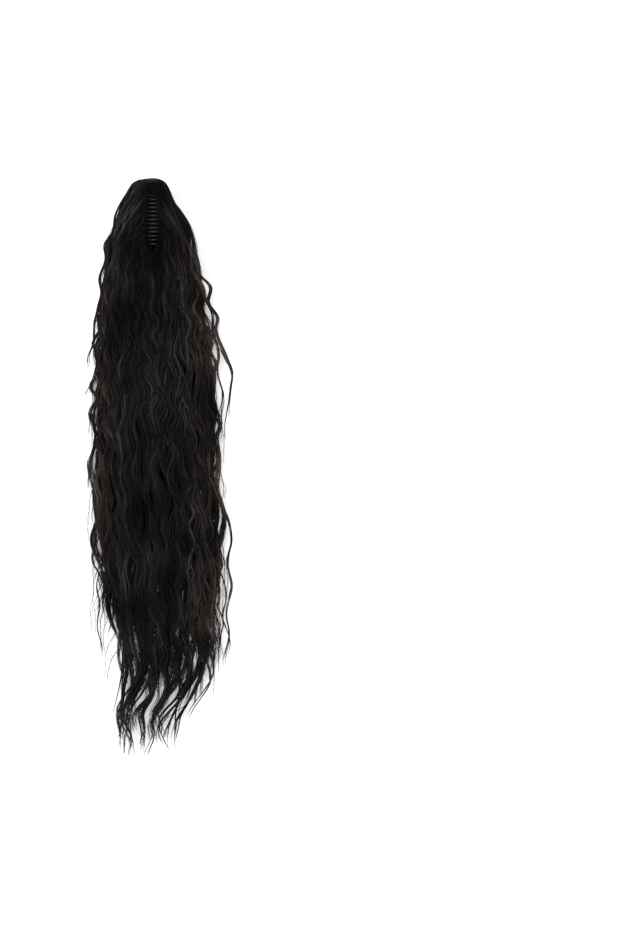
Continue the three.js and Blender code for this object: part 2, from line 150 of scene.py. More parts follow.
# Numbers of locks, and of strands in each
CROWN_LOCKS = 24
INNER_LOCKS = 12
STRAY_LOCKS = 3
CROWN_STRANDS = 20
COVER_LOCKS = 14
COVER_STRANDS = 12
FALL_LOCKS = 26
FALL_STRANDS = 7
SIDE_LOCKS = 5
SIDE_STRANDS = 10
MAT_LOCKS = 20
MAT_STRANDS = 4
FLYAWAY_LOCKS = 30
FLYAWAY_STRANDS = 2
CURTAIN_STRANDS = 80

# Brightness of locks, and painted light and shade on places of them
DARKEST_LOCK = 0.72
BRIGHTEST_LOCK = 1.15
LIT_SIDE_SHARE = 0.45
MEAN_PAINTED_LIGHT = 0.88
CROWN_PAINTED_BANDS = 0.6
TOP_PAINTED_LIGHT = 0.2
TIP_PAINTED_LIGHT = 0.55
PARTING_PAINTED_LIGHT = 0.12
SHADED_TOP = 10 * MM
PARTING_MIDDLE = 1.2 * MM

# Spaces between the points of a line, and the rounding of the jaws' edges
STRAND_STEP = 5.4 * MM
HIDDEN_STEP = 8 * MM
LOOSE_STEP = 3.6 * MM
CORE_STEP = 8 * MM
FINE_STEP = 2 * MM
EDGE_ROUNDING = 0.8 * MM

# Where along the hairpiece the hair stops following a jaw and starts lying still
BLEND_START = -36 * MM
BLEND_END = -115 * MM

# Outline of the bundle from above and from the side: down is the distance from the top as a share of
# the hair's length, left and right are shares of the widest half, height is a share of the crown's.
OUTLINE = np.array([
    # down, left, right, height
    (0.000, 0.24, 0.11, 0.84),
    (0.006, 0.33, 0.18, 0.92),
    (0.019, 0.42, 0.26, 0.98),
    (0.036, 0.50, 0.32, 1.00),
    (0.054, 0.56, 0.39, 1.00),
    (0.071, 0.61, 0.47, 1.00),
    (0.088, 0.65, 0.55, 0.99),
    (0.106, 0.71, 0.60, 0.97),
    (0.123, 0.74, 0.60, 0.93),
    (0.141, 0.76, 0.66, 0.88),
    (0.180, 0.81, 0.72, 0.76),
    (0.227, 0.86, 0.75, 0.68),
    (0.290, 0.91, 0.89, 0.61),
    (0.367, 0.93, 0.96, 0.57),
    (0.450, 0.95, 0.98, 0.56),
    (0.530, 0.94, 1.00, 0.53),
    (0.610, 0.92, 1.03, 0.48),
    (0.679, 0.83, 1.01, 0.42),
    (0.740, 0.76, 0.93, 0.36),
    (0.800, 0.66, 0.88, 0.28),
    (0.850, 0.58, 0.86, 0.20),
    (0.900, 0.56, 0.84, 0.14),
    (1.000, 0.50, 0.78, 0.08),
])

# The parting over the teeth, in millimetres: down the hair, middle across, and half width
PARTING = np.array([
    # down, middle, half
    (0, 0.0, -0.4),
    (9, 0.0, -0.4),
    (12, -1.4, 1.8),
    (14, -1.8, 3.2),
    (18, -0.8, 3.8),
    (23, -0.8, 5.8),
    (28, 1.2, 7.6),
    (71, 1.2, 7.8),
    (77, 1.0, 6.4),
    (83, 0.8, 3.4),
    (90, 0.0, 0.2),
    (125, 0.0, -0.8),
    (190, 0.0, -3.5),
])

# Places along a strand of the curtain under the clip's end: a share of the strand's own place across,
# and inward from the hair's top and up in millimetres
CURTAIN = np.array([
    # spread, inward, up
    (0.80, 4.6, 22.5),
    (0.95, 3.4, 18.0),
    (1.10, 2.6, 11.0),
    (1.25, 3.4, 4.5),
    (1.60, 11.0, 1.8),
    (2.30, 42.0, 1.0),
])

# Loose locks that stray from the bundle. Each stop is across and down in millimetres, and lift is the
# height at the first and the last stop.
LOOSE_LOCKS = [
    # body, radius, strands, lift, stops
    ("right_jaw", 2.0, 22, (44, 5), [(8, 5), (14, 15), (22, 27), (31, 39), (39, 52), (47, 76), (49, 97),
                                     (52, 109), (64, 122), (62, 142), (72, 157), (70, 173), (76, 189),
                                     (82, 203), (89, 223), (87, 240), (83, 287), (84, 300)]),
    ("right_jaw", 1.5, 15, (40, 5), [(33, 64), (42, 84), (44, 104), (54, 122), (58, 136), (66, 152),
                                     (67, 173), (73, 196), (72, 221), (78, 244), (75, 276), (77, 290)]),
    ("left_jaw", 1.7, 17, (42, 6), [(-24, 10), (-34, 24), (-43, 42), (-47, 62), (-55, 75), (-54, 92),
                                    (-62, 115), (-60, 129), (-65, 146), (-69, 168), (-70, 186),
                                    (-76, 204), (-73, 222)]),
    ("left_jaw", 0.9, 7, (30, 6), [(-13, 48), (-16, 62), (-27, 80), (-31, 98), (-42, 116), (-44, 134),
                                   (-52, 152)]),
    ("left_jaw", 0.7, 5, (30, 30), [(-14, 58), (-20, 70), (-27, 84), (-31, 96), (-32, 110)]),
    ("left_jaw", 0.7, 5, (30, 30), [(-8, 60), (-4, 72), (-2, 84), (-4, 106), (-10, 117), (-16, 126),
                                    (-21, 138)]),
    ("root", 0.9, 8, (20, 3), [(-64, 205), (-69, 222), (-78, 242), (-82, 252)]),
    ("root", 1.1, 9, (18, 3), [(-62, 290), (-69, 306), (-74, 326), (-77, 352), (-78, 360)]),
    ("root", 1.3, 15, (18, 4), [(64, 340), (74, 366), (83, 386), (88, 412), (83, 436), (88, 464), (82, 494),
                                (85, 520), (79, 556), (80, 566)]),
    ("root", 1.0, 9, (14, 3), [(66, 430), (77, 452), (82, 476), (78, 500), (86, 528), (84, 548)]),
    ("root", 1.1, 9, (14, 3), [(-62, 405), (-71, 437), (-62, 454), (-58, 471), (-63, 482), (-68, 502)]),
    ("root", 0.9, 7, (14, 3), [(-58, 440), (-66, 462), (-63, 486), (-66, 512), (-60, 538), (-61, 552)]),
    ("root", 0.9, 8, (14, 3), [(66, 180), (76, 196), (82, 208), (88, 216)]),
    ("root", 1.1, 9, (14, 3), [(58, 410), (66, 440), (73, 462), (68, 490), (74, 514), (69, 536), (71, 548)]),
    ("root", 1.2, 10, (14, 3), [(50, 430), (60, 466), (66, 492), (62, 520), (68, 545), (63, 568), (64, 580)]),
    ("root", 0.9, 7, (14, 3), [(60, 460), (70, 484), (78, 505), (75, 528), (80, 546)]),
    ("root", 4.0, 14, (14, 3), [(54, 400), (62, 430), (67, 462), (64, 496), (68, 524), (62, 552), (60, 562)]),
    ("root", 5.0, 16, (14, 3), [(58, 420), (66, 446), (72, 470), (68, 500), (73, 526), (70, 550), (66, 572)]),
    ("root", 4.0, 9, (14, 3), [(-50, 395), (-58, 425), (-63, 452), (-58, 478), (-54, 500), (-50, 520)]),
    ("root", 0.6, 4, (12, 2), [(46, 590), (34, 602), (14, 616), (2, 632)]),
]

random = np.random.default_rng(7)


def smoothstep(x, low, high):
    """From 0 at low to 1 at high, with a soft start and a soft end."""
    t = np.clip((x - low) / (high - low), 0, 1)
    return t * t * (3 - 2 * t)


def mix(a, b, share):
    return a + (b - a) * share


def golden(i):
    """An even scatter between 0 and 1."""
    return (i * 0.618034) % 1


def curve_through(at, value, x):
    """Smooth curve through the values given at some places."""
    slope = np.gradient(value, at)
    k = np.clip(np.searchsorted(at, x) - 1, 0, len(at) - 2)
    width = at[k + 1] - at[k]
    t = np.clip((x - at[k]) / width, 0, 1)
    ends = (2 * t**3 - 3 * t**2 + 1) * value[k] + (3 * t**2 - 2 * t**3) * value[k + 1]
    return ends + ((t**3 - 2 * t**2 + t) * slope[k] + (t**3 - t**2) * slope[k + 1]) * width


def drift(down, seed, period):
    """A slow irregular sway between about -1 and 1."""
    first = np.sin(2 * math.pi * (down / period + 7.3 * seed))
    return 0.62 * first + 0.38 * np.sin(2 * math.pi * (1.83 * down / period + 13.7 * seed))


def outline(down):
    """Half width to the left and right, and height, at a distance down from the hair's top."""
    left, right, height = (curve_through(OUTLINE[:, 0], OUTLINE[:, k], down / HAIR_LENGTH) for k in (1, 2, 3))
    return left * WIDEST_HALF, right * WIDEST_HALF, height * CROWN_HEIGHT


def fullness(down):
    """How square the bundle is across: 1 is an ellipse, and less is fuller."""
    return mix(CROWN_FULLNESS, 1, smoothstep(down, CROWN_LENGTH / 2, 2 * CROWN_LENGTH))


def dome(lane, inset, down):
    """Place across and up of a lane: -1 is the left edge on the table, 0 the top and 1 the right edge.
    inset is how far the place lies inside the bundle's surface."""
    left, right, height = outline(down)
    half = np.where(lane < 0, left, right)
    turn = np.clip(lane, -1, 1) * math.pi / 2
    across = np.sign(lane) * np.abs(np.sin(turn)) ** fullness(down) * np.maximum(half - inset, 0.4 * half)
    return across, np.abs(np.cos(turn)) ** fullness(down) * np.maximum(height - inset, 0.4 * height)


def surface_height(across, down):
    """Height of the bundle's surface over a place on the table."""
    left, right, height = outline(down)
    share = np.clip(np.abs(across) / np.where(across < 0, left, right), 0, 1) ** (1 / fullness(down))
    return height * np.sqrt(1 - share**2) ** fullness(down)


def rounded_end(up, down):
    """Height of a crown, which is rounded off at the hair's top."""
    risen = np.sqrt(1 - (1 - np.clip(down / CROWN_END_LENGTH, 0, 1)) ** 2)
    return mix(CROWN_END_HEIGHT, up, risen)


def parting_lane(side, down):
    """The lane of the parting's edge."""
    left, right, _ = outline(down)
    middle, half = (np.interp(down / MM, PARTING[:, 0], PARTING[:, k]) * MM for k in (1, 2))
    share = (half + side * middle) / np.where(side < 0, left, right)
    turn = np.arcsin(np.clip(np.abs(share), 0, 1) ** (1 / fullness(down)))
    return side * np.sign(share) * turn * 2 / math.pi


def waves(down):
    """Number of waves from the hair's top, which lengthen towards the tips."""
    growth = (WAVE_LOW_LENGTH - WAVE_TOP_LENGTH) / HAIR_LENGTH
    return np.log1p(growth * down / WAVE_TOP_LENGTH) / growth


def shared_waves(lane, down):
    """Neighbouring locks wave nearly together, and drift apart slowly down the hair."""
    wide = 0.30 * np.sin(2.6 * lane + 0.4 + 2 * math.pi * down / (700 * MM))
    near = 0.20 * np.sin(7.1 * lane + 1.3 - 2 * math.pi * down / (310 * MM))
    return wide + near + 0.12 * np.sin(15 * lane + 2 * math.pi * down / (190 * MM))


def swing(down):
    """How far the waves swing: nothing on the crown, and less again at the tips."""
    grown = smoothstep(down, 0.45 * CROWN_LENGTH, 2.1 * CROWN_LENGTH)
    return WAVE_SWING * grown * (1 - 0.3 * smoothstep(down, 0.85 * HAIR_LENGTH, HAIR_LENGTH))


def clear_of_table(across, along, up):
    """Height at which hair on a jaw keeps above its crown's rim, and off the table when the jaw is open."""
    carried = 1 - smoothstep(-along, -BLEND_START, -BLEND_END)
    turn = OPEN_ANGLE * carried
    lowest = (np.abs(across) * np.sin(turn) + MAT_THICKNESS - HINGE_HEIGHT) / np.cos(turn) + HINGE_HEIGHT
    return np.maximum(np.maximum(up, CROWN_RIM * carried), np.maximum(lowest, 0))


@dataclass
class Lock:
    """A group of strands that wave together."""

    start: float
    end: float
    seed: float
    lane: float = 0
    inset: float = 0
    bulge: float = 0
    height: float = 0
    phase: float = 0
    radius: float = LOCK_RADIUS
    root_share: float = 0.5
    stretch: float = 1
    swing: float = 1
    parting: float = 0
    on_jaw: bool = False
    stops: list = field(default_factory=list)
    lift: tuple = (0, 0)


def loose_middle(lock, down):
    """The middle line of a lock that runs through stops of its own, and its two directions."""
    stops = np.array(lock.stops) * MM
    across = curve_through(stops[:, 1], stops[:, 0], down)
    lowered = smoothstep(down, lock.start, mix(lock.start, lock.end, 0.6))
    up = mix(*(height * MM for height in lock.lift), lowered)
    up = np.maximum(up, surface_height(across, down) + lock.radius)
    side = np.ones_like(down), np.zeros_like(down)
    out = np.zeros_like(down), np.ones_like(down)
    return across, up, side, out


def lock_middle(lock, down):
    """The lock's middle line across and up, and its directions sideways and out of the bundle."""
    if lock.stops:
        return loose_middle(lock, down)
    lane = np.full_like(down, lock.lane)
    inset = np.full_like(down, lock.inset)
    if lock.on_jaw:
        side_sign = np.sign(lock.lane)
        parted = np.clip((down - lock.start) / lock.parting, 0, 1)
        lane = mix(parting_lane(side_sign, down), side_sign, abs(lock.lane) * (1 - (1 - parted) ** 2))
        inset = inset * smoothstep(parted, 0, 1)
    inset = inset - lock.bulge * smoothstep(down, 1.4 * CROWN_LENGTH, 2.6 * CROWN_LENGTH)
    bundle = round(TIP_BUNDLES * lock.lane) / TIP_BUNDLES
    lane = mix(lane, bundle, BUNDLE_PULL * smoothstep(down, TIP_SWEEP_START - BUNDLE_LEAD, TIP_SWEEP_END))
    settled = smoothstep(down, lock.start, lock.start + SETTLE_LENGTH)
    across, up = dome(lane, inset + SURFACE_DRIFT * settled * drift(down, lock.seed, 150 * MM), down)
    if lock.height:
        left, right, _ = outline(down)
        half = np.where(lane < 0, left, right)
        across = lane * np.maximum(half - MAT_INSET, 0.5 * half)
    turns = waves(down) * lock.stretch + lock.phase + shared_waves(lane, down)
    turns = 2 * math.pi * (turns + 0.1 * drift(down, lock.seed + 0.3, 140 * MM))
    reach = swing(down) * lock.swing * (1 + 0.3 * drift(down, lock.seed + 0.6, 130 * MM))
    turned = 0 * lane if lock.height else lane * math.pi / 2
    side = np.cos(turned), -np.sin(turned)
    out = np.sin(turned), np.cos(turned)
    across = across + reach * np.sin(turns) * mix(1, side[0], 0.35)
    across = across + SIDE_DRIFT * settled * drift(down, lock.seed + 0.8, 230 * MM)
    swept = mix(0.55, 1, (lane + 1) / 2) * smoothstep(down, TIP_SWEEP_START, TIP_SWEEP_END)
    across = across + TIP_SWEEP * swept
    wandering = TIP_WANDER * smoothstep(down, lock.end - TIP_LENGTH, lock.end)
    across = across + wandering * drift(down, lock.seed + 0.5, 150 * MM)
    parted_tips = BUNDLE_WANDER * smoothstep(down, TIP_SWEEP_START, HAIR_LENGTH)
    across = across + parted_tips * drift(down, 0.37 * bundle, 140 * MM)
    up = up + reach * (0.45 * np.cos(turns) + 0.4 * side[1] * np.sin(turns))
    if lock.on_jaw:
        up = rounded_end(up, down)
    if lock.height:
        up = np.full_like(down, lock.height)
    return across, up, side, out


def resampled(columns, step):
    """The same line with points that are evenly apart."""
    line = np.stack(columns, axis=1)
    length = np.concatenate([[0], np.cumsum(np.linalg.norm(np.diff(line[:, :3], axis=0), axis=1))])
    even = np.linspace(0, length[-1], max(4, round(length[-1] / step)))
    return [np.interp(even, length, column) for column in columns]


def root_width(lock, down):
    """Share of its full width that a lock has near its root."""
    return mix(lock.root_share, 1, smoothstep(down, lock.start, lock.start + LOCK_OPENING))


def strand_line(lock, angle, share, fork, start, end, frizz, seed):
    """Points of one strand of a lock, and its girth at each of them. The lock's tip forks three ways."""
    down = np.arange(start, end, FINE_STEP)
    across, up, side, out = lock_middle(lock, down)
    tip = min(TIP_LENGTH, 0.5 * (lock.end - lock.start))
    clumped = 1 - TIP_CLUMPING * smoothstep(down, lock.end - tip, lock.end - 0.2 * tip)
    swell = 1 + LOCK_SWELL * drift(down, seed, 110 * MM)
    radius = lock.radius * root_width(lock, down) * clumped * share * swell
    turn = angle + STRAND_TWIST * (down - start) * math.cos(7 * angle)
    forked = lock.radius * smoothstep(down, lock.end - 0.7 * tip, lock.end)
    sideways = radius * np.cos(turn) + forked * (fork + 0.7 * drift(down, lock.seed + 0.31 * fork, 90 * MM))
    outwards = radius * np.sin(turn) * LOCK_FLATNESS
    strayed = frizz * smoothstep(down, 0.6 * CROWN_LENGTH, 1.8 * CROWN_LENGTH)
    strayed = strayed * (1 - TIP_CALMING * smoothstep(down, 0.78 * HAIR_LENGTH, 0.93 * HAIR_LENGTH))
    sideways = sideways + strayed * drift(down, seed + 0.4, mix(30, 60, seed) * MM)
    outwards = outwards + 0.6 * strayed * drift(down, seed + 0.7, mix(35, 70, seed) * MM)
    across = across + side[0] * sideways + out[0] * outwards
    up = up + side[1] * sideways + out[1] * outwards
    along = HAIR_TOP - down
    if lock.on_jaw:
        up = clear_of_table(across, along, up)
    if lock.height:
        risen = MAT_RISE * smoothstep(down, MAT_RISE_START, MAT_RISE_END)
        up = np.minimum(up, MAT_THICKNESS - STRAND_RADIUS + risen)
    up = np.maximum(up, 1.2 * STRAND_RADIUS)
    taper = np.clip((end - down) / END_TAPER, 0, 1) ** 0.7
    girth = STRAND_RADIUS * mix(0.5, 1, taper) * np.clip(0.5 + (down - start) / ROOT_TAPER, 0, 1)
    step = LOOSE_STEP if lock.stops else STRAND_STEP if lock.on_jaw else HIDDEN_STEP
    across, along, up, girth = resampled([across, along, up, girth], step)
    return np.stack([across, along, up], axis=1), girth


def strands_of(lock, count, frizz):
    """All strands of a lock, as rows of points, girth and shade. Some locks are darker than others."""
    rows = []
    length = lock.end - lock.start
    brightest = mix(DARKEST_LOCK, BRIGHTEST_LOCK, (5.3 * lock.seed) % 1)
    for k in range(count):
        angle = 2.4 * k + 3 * random.random()
        share = math.sqrt((k + 0.5) / count)
        fork = (k % 3) - 1
        scatter = START_SCATTER if lock.start > SEAM_END else SEAM_SCATTER
        start = lock.start + scatter * random.random()
        shorter = SHORT_CUT if random.random() < SHORT_STRANDS else USUAL_CUT
        end = lock.end - min(shorter, 0.3 * length) * random.random() ** 1.3
        end -= min(FORK_CUT, 0.1 * length) * golden(3 * fork + 7 * lock.seed)
        stray = frizz * (UNRULY_FRIZZ if random.random() < UNRULY_STRANDS else 1) * random.uniform(0.3, 1.2)
        points, girth = strand_line(lock, angle, share, fork, start, end, stray, random.random())
        lit_side = 0.5 + 0.5 * math.cos(angle - 2 * math.pi * lock.seed)
        rows.append((points, girth, min(1, brightest * mix(random.random(), lit_side, LIT_SIDE_SHARE))))
    return rows


def core_of(lock):
    """The body of a lock, as one thick line inside its strands, painted dark as the shade inside the lock."""
    down = np.arange(lock.start + CORE_ROOT_GAP, lock.end - CORE_TIP_GAP, FINE_STEP)
    across, up, side, out = lock_middle(lock, down)
    along = HAIR_TOP - down
    across = across - out[0] * CORE_INSET
    up = up - out[1] * CORE_INSET
    if lock.on_jaw:
        up = clear_of_table(across, along, up)
    closed = 1 - 0.94 * smoothstep(down, lock.end - CORE_TAPER_START, lock.end - CORE_TAPER_END)
    girth = CORE_SHARE * lock.radius * root_width(lock, down) * closed
    up = np.maximum(up, girth * LOCK_FLATNESS)
    across, along, up, girth = resampled([across, along, up, girth], CORE_STEP)
    return np.stack([across, along, up], axis=1), girth, random.random()


def sweep_tree(name, sides, flatness):
    """Geometry nodes that turn lines with a girth into closed tubes.
    around is the place on the tube's ring."""
    tree = bpy.data.node_groups.new(name, "GeometryNodeTree")
    tree.interface.new_socket("Geometry", in_out="INPUT", socket_type="NodeSocketGeometry")
    tree.interface.new_socket("Geometry", in_out="OUTPUT", socket_type="NodeSocketGeometry")
    lines = tree.nodes.new("NodeGroupInput")
    to_curve = tree.nodes.new("GeometryNodeMeshToCurve")
    normal = tree.nodes.new("GeometryNodeSetCurveNormal")
    normal.mode = "Z_UP"
    girth = tree.nodes.new("GeometryNodeInputNamedAttribute")
    girth.inputs["Name"].default_value = "girth"
    set_radius = tree.nodes.new("GeometryNodeSetCurveRadius")
    circle = tree.nodes.new("GeometryNodeCurvePrimitiveCircle")
    circle.inputs["Resolution"].default_value = sides
    circle.inputs["Radius"].default_value = 1
    place = tree.nodes.new("GeometryNodeInputPosition")
    around = tree.nodes.new("GeometryNodeStoreNamedAttribute")
    around.data_type = "FLOAT_VECTOR"
    around.inputs["Name"].default_value = "around"
    flatten = tree.nodes.new("GeometryNodeTransform")
    flatten.inputs["Scale"].default_value = (1, flatness, 1)
    to_mesh = tree.nodes.new("GeometryNodeCurveToMesh")
    to_mesh.inputs["Fill Caps"].default_value = True
    smooth = tree.nodes.new("GeometryNodeSetShadeSmooth")
    result = tree.nodes.new("NodeGroupOutput")
    for output, socket in (
        (lines.outputs[0], to_curve.inputs["Mesh"]),
        (to_curve.outputs["Curve"], normal.inputs["Curve"]),
        (normal.outputs["Curve"], set_radius.inputs["Curve"]),
        (girth.outputs["Attribute"], set_radius.inputs["Radius"]),
        (set_radius.outputs["Curve"], to_mesh.inputs["Curve"]),
        (girth.outputs["Attribute"], to_mesh.inputs["Scale"]),
        (circle.outputs["Curve"], around.inputs["Geometry"]),
        (place.outputs["Position"], around.inputs["Value"]),
        (around.outputs["Geometry"], flatten.inputs["Geometry"]),
        (flatten.outputs["Geometry"], to_mesh.inputs["Profile Curve"]),
        (to_mesh.outputs["Mesh"], smooth.inputs["Geometry"]),
        (smooth.outputs["Geometry"], result.inputs[0]),
    ):
        tree.links.new(output, socket)
    return tree


strand_tree = sweep_tree("strand_sweep", 3, 1.0)
core_tree = sweep_tree("lock_core_sweep", 6, LOCK_FLATNESS)


def new_piece(name, mesh, material):
    piece = bpy.data.objects.new(name, mesh)
    bpy.context.scene.collection.objects.link(piece)
    if material:
        mesh.materials.append(material)
    return piece


def warmth(points):
    """How brown the hair is: more so towards the sides and the tips."""
    down = HAIR_TOP - points[:, 1]
    left, right, _ = outline(np.clip(down, 0, HAIR_LENGTH))
    edge = np.abs(points[:, 0]) / np.where(points[:, 0] < 0, left, right)
    at_tips = smoothstep(down, 0.7 * HAIR_LENGTH, HAIR_LENGTH)
    return np.clip(smoothstep(edge, 0.55, 1.05) + 0.4 * at_tips, 0, 1)


def painted_light(points):
    """Painted light and shade on the hair: painted bands on the crown, painted shade at the top end, darker
    towards the tips, and the most painted shade beside the parting.
    """
    across, down = points[:, 0], HAIR_TOP - points[:, 1]
    left, right, _ = outline(np.clip(down, 0, HAIR_LENGTH))
    lane = across / np.where(across < 0, left, right)
    bands = CROWN_PAINTED_BANDS * drift(lane, 0.21, 0.17) * (1 - smoothstep(down, 60 * MM, 170 * MM))
    over_all = (MEAN_PAINTED_LIGHT + bands) * mix(TOP_PAINTED_LIGHT, 1, smoothstep(down, 0, SHADED_TOP))
    over_all = over_all * mix(1, TIP_PAINTED_LIGHT, smoothstep(down, 0.86 * HAIR_LENGTH, 0.98 * HAIR_LENGTH))
    beside = smoothstep(np.abs(across - PARTING_MIDDLE), 7 * MM, 24 * MM)
    along_it = smoothstep(down, 0, SHADED_TOP) * (1 - smoothstep(down, 92 * MM, 140 * MM))
    return over_all * mix(1, mix(PARTING_PAINTED_LIGHT, 1, beside), along_it)


def set_column(mesh, name, values):
    """Keep one number, or one vector, with each of the mesh's points."""
    kind, key = ("FLOAT", "value") if values.ndim == 1 else ("FLOAT_VECTOR", "vector")
    mesh.attributes.new(name, kind, "POINT").data.foreach_set(key, values.astype(np.float32).ravel())


def set_tone_columns(mesh, points):
    """What the hair's colour goes by: the place down the hair, its warmth and the painted light and shade on
    it.
    """
    set_column(mesh, "down", (HAIR_TOP - points[:, 1]) / HAIR_LENGTH)
    set_column(mesh, "warmth", warmth(points))
    set_column(mesh, "painted_light", painted_light(points))


def sweep(name, rows, tree, material):
    """One mesh of closed tubes along the lines in rows, which are points, girth and shade."""
    points = np.concatenate([row[0] for row in rows])
    counts = [len(row[0]) for row in rows]
    starts = np.cumsum([0] + counts[:-1])
    edges = [np.stack([np.arange(n - 1), np.arange(1, n)], axis=1) + s for s, n in zip(starts, counts)]
    mesh = bpy.data.meshes.new(name)
    mesh.from_pydata(points.tolist(), np.concatenate(edges).tolist(), [])
    set_column(mesh, "girth", np.concatenate([row[1] for row in rows]))
    set_column(mesh, "shade", np.repeat([row[2] for row in rows], counts))
    set_tone_columns(mesh, points)
    piece = new_piece(name, mesh, None)
    modifier = piece.modifiers.new("sweep", "NODES")
    modifier.node_group = tree
    graph = bpy.context.evaluated_depsgraph_get()
    swept = bpy.data.meshes.new_from_object(piece.evaluated_get(graph))
    piece.modifiers.clear()
    piece.data = swept
    swept.name = name
    swept.materials.clear()
    swept.materials.append(material)
    bpy.data.meshes.remove(mesh)
    return piece


def crown_cap(name, side):
    """The sewn base of one crown, as a thin shell over its jaw, painted dark as the shade under the crown's
    strands.
    """
    bm = bmesh.new()
    for depth in (0, CAP_WALL):
        grid = bmesh.ops.create_grid(bm, x_segments=CAP_COLUMNS, y_segments=CAP_ROWS, size=0.5)
        round_jaw, down_jaw, _ = np.array([vert.co for vert in grid["verts"]]).T + 0.5
        down = CAP_TOP + CAP_LENGTH * down_jaw**1.6
        lane = mix(side * np.maximum(side * parting_lane(side, down), 0), side, round_jaw)
        inset = mix(CAP_INSET_AT_PARTING, CAP_INSET, smoothstep(np.abs(lane), 0.05, 0.4)) + depth
        inset = inset + CAP_EDGE_INSET * smoothstep(np.abs(lane), 0.6, 1) + CAP_END_INSET * down_jaw**3
        across, up = dome(lane, inset, down)
        along = HAIR_TOP - down
        up = clear_of_table(across, along, rounded_end(up, down)) - depth
        for vert, place in zip(grid["verts"], np.stack([across, along, up], axis=1)):
            vert.co = place
    bmesh.ops.bridge_loops(bm, edges=[edge for edge in bm.edges if edge.is_boundary])
    bmesh.ops.recalc_face_normals(bm, faces=bm.faces)
    for face in bm.faces:
        face.smooth = True
    mesh = bpy.data.meshes.new(name)
    bm.to_mesh(mesh)
    bm.free()
    points = np.array([vert.co for vert in mesh.vertices])
    ring = np.zeros_like(points)
    ring[:, 0] = CAP_STREAKS * np.arctan2(points[:, 0], points[:, 2])
    # The cap takes the darkest tone, as painted shade
    set_column(mesh, "shade", np.zeros(len(points)))
    set_tone_columns(mesh, points)
    set_column(mesh, "around", ring)
    return new_piece(name, mesh, painted_shade_fibre)


class Shader:
    """Short ways to make a material's or a node group's nodes."""

    def __init__(self, tree):
        self.nodes, self.links = tree.nodes, tree.links

    def put(self, value, socket):
        if isinstance(value, bpy.types.NodeSocket):
            self.links.new(value, socket)
        else:
            socket.default_value = value

    def math(self, operation, first, second, clamp=False):
        node = self.nodes.new("ShaderNodeMath")
        node.operation = operation
        node.use_clamp = clamp
        self.put(first, node.inputs[0])
        self.put(second, node.inputs[1])
        return node.outputs["Value"]

    def vector_math(self, operation, *values):
        node = self.nodes.new("ShaderNodeVectorMath")
        node.operation = operation
        for value, socket in zip(values, node.inputs):
            self.put(value, socket)
        return node.outputs["Vector"]

    def noise(self, vector, scale, detail=2):
        node = self.nodes.new("ShaderNodeTexNoise")
        node.inputs["Scale"].default_value = scale
        node.inputs["Detail"].default_value = detail
        self.links.new(vector, node.inputs["Vector"])
        return node.outputs["Fac"]

    def ranged(self, value, low, high, new_low, new_high):
        node = self.nodes.new("ShaderNodeMapRange")
        sockets = ("From Min", "From Max", "To Min", "To Max")
        for socket, number in zip(sockets, (low, high, new_low, new_high)):
            node.inputs[socket].default_value = number
        self.links.new(value, node.inputs["Value"])
        return node.outputs["Result"]

    def blended(self, share, first, second):
        node = self.nodes.new("ShaderNodeMix")
        node.data_type = "RGBA"
        for value, socket in zip((share, first, second), (node.inputs[0], node.inputs[6], node.inputs[7])):
            self.put(value, socket)
        return node.outputs[2]

    def attribute(self, name, output="Fac"):
        node = self.nodes.new("ShaderNodeAttribute")
        node.attribute_name = name
        return node.outputs[output]

    def place(self):
        return self.nodes.new("ShaderNodeTexCoord").outputs["Object"]

    def relief(self, height, strength, distance):
        node = self.nodes.new("ShaderNodeBump")
        node.inputs["Strength"].default_value = strength
        node.inputs["Distance"].default_value = distance
        self.links.new(height, node.inputs["Height"])
        return node.outputs["Normal"]


